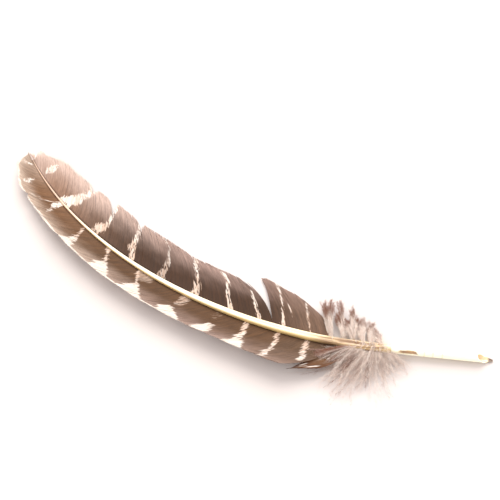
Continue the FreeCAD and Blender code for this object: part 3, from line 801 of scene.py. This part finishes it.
def build_blade(name, side, root_run, length, angle, seed):
    """Smooth pointed lock of loose barbs, parted from the webs."""
    count = int(round(BLADE_WIDTH * 2.0 / BARB_PITCH)) + 3

    def barbs_at(across, share, barb):
        run = root_run + BLADE_WIDTH * (0.5 - across)
        middle = np.full_like(run, root_run)
        way, out = shaft_way(middle), outward(middle, side)
        turn = np.full_like(run, math.radians(angle))
        reach = share * (1 - 0.30 * np.abs(2 * across - 0.8) ** 1.3)
        root = root_point(run, side)
        place = barb_curve(root, way, out, turn, np.full_like(run, length), reach)
        square = out * math.cos(math.radians(angle)) - way * math.sin(math.radians(angle))
        swell = BLADE_WIDTH * (1.5 * np.sin(np.pi * np.minimum(1, reach * 1.02)) ** 0.7 - 0.7 * reach)
        place = place + square * ((across - 0.5) * swell)[..., None]
        place[..., 2] = root[..., 2] + BLADE_LIFT * reach ** 1.4
        grain = np.stack((run * 1.7, share * length, np.full_like(run, seed * 9.0)), -1)
        streaks = np.clip(0.45 + 0.9 * ripple(barb * 0.9, seed), 0, 1) * ramp(0.80, 0.25, share)
        patch = ramp(0.62, 0.72, share) * ramp(0.90, 0.80, share)
        patch = patch * ramp(0.0, 0.6, ripple(barb / 2.0 + share * 3, seed + 1))
        pale = np.maximum(streaks * 0.5, patch * 0.7)
        return place, way, {"share": share, "run": run, "pale": pale, "grain": grain}

    slits = slit_layout(count, seed, 4.0, 0.5)
    roots = root_run + BLADE_WIDTH * (0.5 - np.linspace(0, 1, COLUMNS_PER_BARB * count + 1))
    return sheet_of_barbs(name, side, roots, barbs_at, slits, seed, MATERIALS["blade"])


# ---- Sprays: down, plumes and fluffy locks ----
def filaments(points, radii, normal_seed):
    """Closed three-sided tapering threads through rows of points: vertices and faces."""
    count, steps = points.shape[:2]
    along = np.gradient(points, axis=1)
    along /= np.linalg.norm(along, axis=2, keepdims=True) + 1e-9
    rng = np.random.default_rng(normal_seed)
    side = np.cross(along, rng.normal(size=(count, 1, 3)))
    side /= np.linalg.norm(side, axis=2, keepdims=True) + 1e-9
    other = np.cross(along, side)
    rings = []
    for corner in range(3):
        angle = 2 * math.pi * corner / 3
        rings.append(points + (side * math.cos(angle) + other * math.sin(angle)) * radii[..., None])
    vertices = np.stack(rings, 2).reshape(-1, 3)
    base = (np.arange(count)[:, None, None] * steps + np.arange(steps - 1)[None, :, None]) * 3
    corner = np.arange(3)[None, None, :]
    after = (corner + 1) % 3
    quads = np.stack((base + corner, base + after, base + 3 + after, base + 3 + corner), -1).reshape(-1, 4)
    first = np.arange(count)[:, None] * steps * 3
    starts = first + np.array([2, 1, 0])
    ends = first + (steps - 1) * 3 + np.array([0, 1, 2])
    return vertices, quads, np.concatenate((starts, ends))


def barb_spines(name, side, run, reach, width, count, seed, rng, kind):
    """Lines of a spray's barbs, each barb's wisp, which barbs are long, and the spray's length."""
    root, way, out = root_frame(run, side)
    root = root - out * SPRAY_ROOT_DEPTH
    reach = np.array([*reach, 0.0])
    size = np.linalg.norm(reach)
    forward = reach / size
    aside = np.array([-forward[1], forward[0], 0.0])
    s = np.linspace(0, 1, SPINE_POINTS)[None, :]
    wisp = rng.integers(0, kind.wisps, count)
    centre = np.linspace(-1, 1, kind.wisps) + rng.normal(0, 0.12, kind.wisps)
    loose = rng.random(count) < kind.loose
    spread = centre[wisp] + rng.normal(0, kind.scatter, count) + loose * rng.normal(0, 0.5, count)
    spread = spread[:, None]
    wisp_length = rng.uniform(kind.least_wisp, 1.10, kind.wisps) * (1 - 0.16 * np.abs(centre) ** 2)
    long_ones = rng.random(count) < 0.3
    if kind is PLUME:
        length = rng.uniform(0.78, 1.02, count)
    else:
        length = np.where(long_ones, rng.uniform(0.82, 1.08, count), rng.uniform(0.46, 0.80, count))
    length = size * (wisp_length[wisp] * length)[:, None]
    if kind is PLUME:
        length = length * (1 - 0.2 * np.minimum(spread ** 2, 1.5))
    if name == "trailing_lock_1":       # its end is cut at a slant
        length = length * (1 - 0.10 * spread * np.sign(aside[0]))
    curl = (rng.normal(0, kind.curl, kind.wisps)[wisp] + rng.normal(0, 0.03, count))[:, None]
    wander = rng.normal(0, kind.wander, (count, 3))
    waves = sum(wander[:, k:k + 1] * np.sin(np.pi * (k + 1) * s + seed + k) * s for k in range(3))
    sideways = spread * width / 2 * (s ** 0.75) + curl * size * s ** 2 + waves
    start = root + way * rng.uniform(-1, 1, (count, 1)) * kind.root_spread
    layer = rng.uniform(-0.6, 1.0, (count, 1))
    arch = np.sin(np.pi * np.minimum(1, s * 1.15) ** 0.6)
    height = (TUFT_HEIGHT - root[2]) * np.minimum(1, 2.2 * s) + layer * kind.depth * arch
    raised = LOCK_RAISE if side == LEADING and kind is PLUME else 0
    height = height - kind.droop * s ** 1.5 + raised * arch
    folded = 0.34 if run < 66 else 0.12
    over = (rng.random(count) < folded)[:, None] * rng.uniform(0.5, 1.0, (count, 1))
    fold = np.sin(np.pi * np.minimum(1, s * size / 11.0)) * over
    spine = start[:, None, :] + forward * (length * s - 5.5 * fold)[..., None] + aside * sideways[..., None]
    spine[..., 2] = np.maximum(start[:, None, 2] + height + 2.6 * fold, 0.12)
    return spine, wisp, long_ones, size


def barbules(spine, size, rng, kind):
    """Loose threads along both sides of every barb, and the share of the barb's length where each starts."""
    count, steps = spine.shape[:2]
    per_barb = int(size * kind.barbules)
    at = np.sort(rng.uniform(0.04, 0.995, (count, per_barb)) ** kind.crowding, axis=1)
    along = np.gradient(spine, axis=1)
    along /= np.linalg.norm(along, axis=2, keepdims=True)
    position = at * (steps - 1)
    low = np.minimum(position.astype(int), steps - 2)
    part = (position - low)[..., None]
    rows = np.arange(count)[:, None]
    foot = spine[rows, low] * (1 - part) + spine[rows, low + 1] * part
    axis = along[rows, low]
    out = np.cross(axis, [0, 0, 1.0]) * np.where(rng.random((count, per_barb, 1)) < 0.5, 1, -1)
    out += rng.normal(0, 0.45, (count, per_barb, 3)) * (1, 1, 0.8)
    out /= np.linalg.norm(out, axis=2, keepdims=True)
    lean = rng.uniform(0.5, 1.1, (count, per_barb, 1))
    long = rng.uniform(kind.shortest, kind.longest, (count, per_barb, 1))
    long = long * (kind.root_factor + kind.factor_gain * at[..., None])
    foot, out, axis, long, lean = (values[:, :, None, :] for values in (foot, out, axis, long, lean))
    t = np.linspace(0, 1, BARBULE_POINTS)[:, None]
    thread = foot + out * (long * (1 - lean * 0.4) * t) + axis * (long * lean * t ** 1.4)
    thread[..., 2] = np.maximum(thread[..., 2], 0.08)
    return thread.reshape(count * per_barb, BARBULE_POINTS, 3), at


def brown_tips(name, side, run, share, owner, wisp, long_ones, rng, kind):
    """How brown a spray is at each point of its barbs."""
    tone = rng.uniform(0, 1, len(wisp))
    if kind is DOWN:
        tone = np.clip(0.8 * tone + 0.9 * rng.uniform(-0.6, 0.7, kind.wisps)[wisp], 0, 1)
        brown = 0.85 * tone[owner] ** 2 * ramp(0.05, 0.35, share)
        tips = (0.04 + 0.2 * long_ones[owner]) * ramp(0.6, 0.95, share)
        return brown * (1.0 if run > 62 else 0.5) + tips
    tone = tone[owner]
    if side == LEADING:
        return (0.55 + 0.45 * tone) * ramp(0.0, 0.3, share) * (1 - 0.7 * (tone < 0.14))
    start = 0.50 if "lock" in name else 0.62
    brown = (0.85 if run > 72 else 0.6) * ramp(start, start + 0.26, share + 0.2 * (tone - 0.5))
    return np.maximum(brown, 0.35 * (tone > 0.75))


def build_spray(name, side, run, reach, width, count, seed, slot):
    """Soft barbs in a few wisps, each with loose barbules along both sides."""
    rng = np.random.default_rng(seed)
    kind = DOWN if name.startswith("down") else PLUME
    spine, wisp, long_ones, size = barb_spines(name, side, run, reach, width, count, seed, rng, kind)
    thread, at = barbules(spine, size, rng, kind)
    s = np.linspace(0, 1, SPINE_POINTS)
    radii = SPINE_RADIUS * (1 - 0.72 * s) * np.ones((count, 1))
    thin = kind.radius * (1 - 0.8 * np.linspace(0, 1, BARBULE_POINTS)) * np.ones((len(thread), 1))
    share = np.concatenate((np.tile(np.repeat(s, 3), count), np.repeat(at.reshape(-1), 3 * BARBULE_POINTS)))
    owners = np.arange(count)
    owner = np.concatenate((np.repeat(owners, 3 * SPINE_POINTS),
                            np.repeat(owners, at.shape[1] * 3 * BARBULE_POINTS)))
    brown = brown_tips(name, side, run, share, owner, wisp, long_ones, rng, kind)
    grain = np.stack((owner, share * size, np.full(len(share), seed * 5.0)), -1)
    plan = np.stack((0.01 + 0.98 * share, (owner + 0.5) / count), -1)

    barbs, loose = filaments(spine, radii, seed), filaments(thread, thin, seed + 1)
    vertices = np.concatenate((barbs[0], loose[0]))
    faces = [np.concatenate((own, more + len(barbs[0]))) for own, more in zip(barbs[1:], loose[1:])]
    return make_object(f"{name}_barbs", vertices, faces, {"brown": brown, "grain": grain},
                       [plan[group] for group in faces], MATERIALS["down"])


# ---- Shaft ----
def build_shaft():
    """Smooth tapering shaft with its furrow and fine ribs, from the barrel to the feather's tip."""
    rings, corners = SHAFT_RINGS, SHAFT_CORNERS
    shaft_tip = SHAFT_END + SHAFT_OVERRUN
    runs = np.linspace(BARREL_LENGTH, shaft_tip, rings)[:, None]
    angle = (np.arange(corners) / corners * 2 * math.pi)[None, :]
    way = shaft_way(runs[:, 0])
    across = outward(runs[:, 0], TRAILING)
    up = np.cross(across, way)
    half_width = between(SHAFT_SECTIONS, runs, 1) / 2 * between(BARE_WIDTH, runs, 1)
    half_height = between(SHAFT_SECTIONS, runs, 2) / 2 * between(BARE_WIDTH, runs, 1) ** 0.5
    squared = np.clip((runs - BARREL_LENGTH) / SQUARING_LENGTH, 0, 1)
    power = 1 - 0.25 * squared
    x = half_width * np.sign(np.cos(angle)) * np.abs(np.cos(angle)) ** power
    y = half_height * np.sign(np.sin(angle)) * np.abs(np.sin(angle)) ** power
    furrow = GROOVE_DEPTH * squared * (half_height / BARREL_RADIUS) * np.exp(-(2.2 * x / half_width) ** 2)
    y = y - np.where(y > 0, furrow, 0)
    ribs = 0.018 * ripple(angle * 7, 41) + 0.014 * ripple(angle * 15 + runs / 60, 42)
    scale = 1 + ribs * squared * (half_width / BARREL_RADIUS)
    place = (shaft_point(runs[:, 0])[:, None, :] + across[:, None, :] * (x * scale)[..., None]
             + up[:, None, :] * (y * scale)[..., None])
    point = shaft_point(np.array([shaft_tip + 0.5]))
    base = shaft_point(np.array([BARREL_LENGTH]))
    vertices = np.concatenate((place.reshape(-1, 3), base, point))
    ring = np.arange(rings - 1)[:, None] * corners
    corner = np.arange(corners)[None, :]
    after = (corner + 1) % corners
    quads = np.stack((ring + corner, ring + after, ring + corners + after, ring + corners + corner), -1)
    quads = quads.reshape(-1, 4)
    base_index = np.full(corners, rings * corners)
    last = (rings - 1) * corners
    ends = np.concatenate((np.stack((base_index, after[0], corner[0]), -1),
                           np.stack((base_index + 1, last + corner[0], last + after[0]), -1)))

    def at_vertices(values, at_base, at_tip):
        """One value for every vertex of the rings and then for the two end points."""
        return np.concatenate((np.broadcast_to(values, (rings, corners)).reshape(-1), [at_base, at_tip]))

    run = at_vertices(runs, BARREL_LENGTH, SHAFT_END)
    face = at_vertices(np.cos(angle), 0, 0)
    grain = np.stack((face * BARREL_RADIUS, run, at_vertices(np.sin(angle) * 2.2, 0, 0)), -1)
    lengthwise = (run - BARREL_LENGTH) / (shaft_tip - BARREL_LENGTH)
    around = at_vertices(angle / (2 * math.pi), 0.5, 0.5)
    plan = np.stack((0.01 + 0.98 * lengthwise, 0.01 + 0.96 * around), -1)
    uv = [plan[quads], plan[ends]]
    wrap = (uv[0][..., 1].max(1) - uv[0][..., 1].min(1)) > 0.5
    low = uv[0][..., 1] < 0.5
    uv[0][..., 1] = np.where(wrap[:, None] & low, 0.99, uv[0][..., 1])
    attributes = {"run": run, "face": face, "grain": grain}
    return make_object("rachis_shaft", vertices, [quads, ends], attributes, uv, MATERIALS["shaft"])


def tie(piece, node, body):
    """Let a piece stand for its CAD node: hide the node, and attach the piece to the quill's body, or else
    fix its transform in place.
    """
    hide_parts(node)
    if body == "quill":
        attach(piece, "quill")
    else:
        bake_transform(piece)


def assemble():
    """Build every piece, tie it to its body and hide the CAD node that it stands for."""
    bodies = frame["record"]["behaviour"]["bodies"]
    body_of = {node: body for body, nodes in bodies.items() for node in nodes}
    shaft = build_shaft()
    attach(shaft, "quill")
    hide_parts("rachis_cortex")
    seed = 100
    for side, side_name in SIDE_NAMES.items():
        for place, tip_run, base_run in zip(WEB_PLACES, SEAMS[side], SEAMS[side][1:]):
            seed += 1
            name = f"{side_name}_web_{place}"
            piece = build_web(side, name, tip_run, base_run, GAPES.get(name, NO_GAPE), seed)
            middle = np.array([(tip_run + base_run) / 2])
            near, far = (barb_point(middle, side, np.array([share]))[0] for share in (0.05, 0.55))
            tie(piece, name, body_of[name])
    for name, side, run, length, angle in LOCKS:
        seed += 1
        if name in FLUFFY_LOCKS:
            piece = build_spray(name, side, *FLUFFY_LOCKS[name], seed, BARB_SLOTS[side])
        else:
            piece = build_blade(name, side, run, length, angle, seed)
        root, way, out = root_frame(run, side)
        tie(piece, name, body_of[name])
    for row_name, side, row in TUFTS:
        for number, tuft in enumerate(row, 1):
            seed += 1
            name = f"{row_name}_{number}"
            piece = build_spray(name, side, *tuft, seed, "down")
            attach(piece, "quill")
            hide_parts(name)


def dress_cad_nodes():
    """Materials for the CAD shapes that stay."""
    keratin = barrel_material("barrel_keratin_clear")
    pith = plain_grain_material("pith_foam", srgb(250, 248, 240), srgb(232, 228, 214), 1500.0, 0.9)
    pulp = plain_grain_material("pulp_dry", srgb(176, 124, 66), srgb(112, 70, 34), 900.0, 0.7)
    film = plain_grain_material("pulp_film", srgb(240, 226, 186), srgb(214, 192, 140), 1200.0, 0.5)
    chosen = {keratin: ("quill_barrel", "nib_tine_leading", "nib_tine_trailing"), pith: ("rachis_pith",),
              pulp: ("dried_pulp",), film: ("pulp_cap_1", "pulp_cap_2", "pulp_cap_3")}
    for material, nodes in chosen.items():
        for node in nodes:
            for material_slot in frame["nodes"][node].material_slots:
                material_slot.material = material


# ---- Table, light and camera ----
CAMERA_AZIMUTH, CAMERA_ELEVATION = 27.17, 60.0
CAMERA_DISTANCE = 656.4
CAMERA_AIM = np.array([-0.86, 29.92, 0.0])
CAMERA_LENS = 85.0
SENSOR_WIDTH = 36.0
WINDOW_ELEVATION, WINDOW_TURN, WINDOW_SPREAD, WINDOW_POWER = 36.0, 8.0, 60.0, 4.2
FILL_RISE, FILL_SPREAD, FILL_POWER = 0.9, 120.0, 0.65
TABLE_HALF = 3.0
TABLE_COLORS = (0.63, 0.58, 0.56), (0.65, 0.595, 0.575)
ROOM_COLOR, ROOM_POWER = (1.0, 0.955, 0.94, 1), 1.08


def build_table():
    """Large matt table top, nearly even in colour."""
    g = Graph("table_white")
    cloud = g.noise(g.object_place(), (1, 1, 1), 2.0, 0.5, 4.0)
    white = g.finish(g.mix(cloud, *TABLE_COLORS), 0.9, Specular_IOR_Level=0.1)
    mesh = bpy.data.meshes.new("table_top")
    corners = [(x * TABLE_HALF, y * TABLE_HALF, 0) for x, y in ((-1, -1), (1, -1), (1, 1), (-1, 1))]
    mesh.from_pydata(corners, [], [(0, 1, 2, 3)])
    mesh.materials.append(white)
    add_to_scene("table_top", mesh)


def add_sun(name, towards, power, spread, color=(1.0, 1.0, 1.0)):
    """Soft light that comes from this direction."""
    light = bpy.data.lights.new(name, "SUN")
    light.energy = power
    light.angle = math.radians(spread)
    light.color = color
    lamp = add_to_scene(name, light)
    lamp.rotation_euler = towards.to_track_quat("Z", "Y").to_euler()


def build_lights():
    """Bright room, a wide window behind the quill and a weak fill from the other side."""
    world = bpy.data.worlds.new("white_room")
    bpy.context.scene.world = world
    world.use_nodes = True
    background = world.node_tree.nodes["Background"]
    background.inputs["Color"].default_value = ROOM_COLOR
    background.inputs["Strength"].default_value = ROOM_POWER
    turn = math.radians(CAMERA_AZIMUTH + WINDOW_TURN)
    lift = math.radians(WINDOW_ELEVATION)
    to_window = Vector((-math.sin(turn) * math.cos(lift), math.cos(turn) * math.cos(lift), math.sin(lift)))
    add_sun("window", to_window, WINDOW_POWER, WINDOW_SPREAD, (1.0, 0.985, 0.96))
    add_sun("room_fill", Vector((-to_window.x, -to_window.y, FILL_RISE)), FILL_POWER, FILL_SPREAD)


def build_camera():
    """Camera above the near side of the table."""
    turn, lift = math.radians(CAMERA_AZIMUTH), math.radians(CAMERA_ELEVATION)
    back = np.array([math.sin(turn) * math.cos(lift), -math.cos(turn) * math.cos(lift), math.sin(lift)])
    data = bpy.data.cameras.new("camera")
    data.lens = CAMERA_LENS
    data.sensor_width = SENSOR_WIDTH
    camera = add_to_scene("camera", data)
    camera.location = Vector((CAMERA_AIM + back * CAMERA_DISTANCE) * MM)
    camera.rotation_euler = Vector(back).to_track_quat("Z", "Y").to_euler()
    bpy.context.scene.camera = camera
    bpy.context.scene.view_settings.view_transform = "Standard"


assemble()
dress_cad_nodes()
build_table()
build_lights()
build_camera()
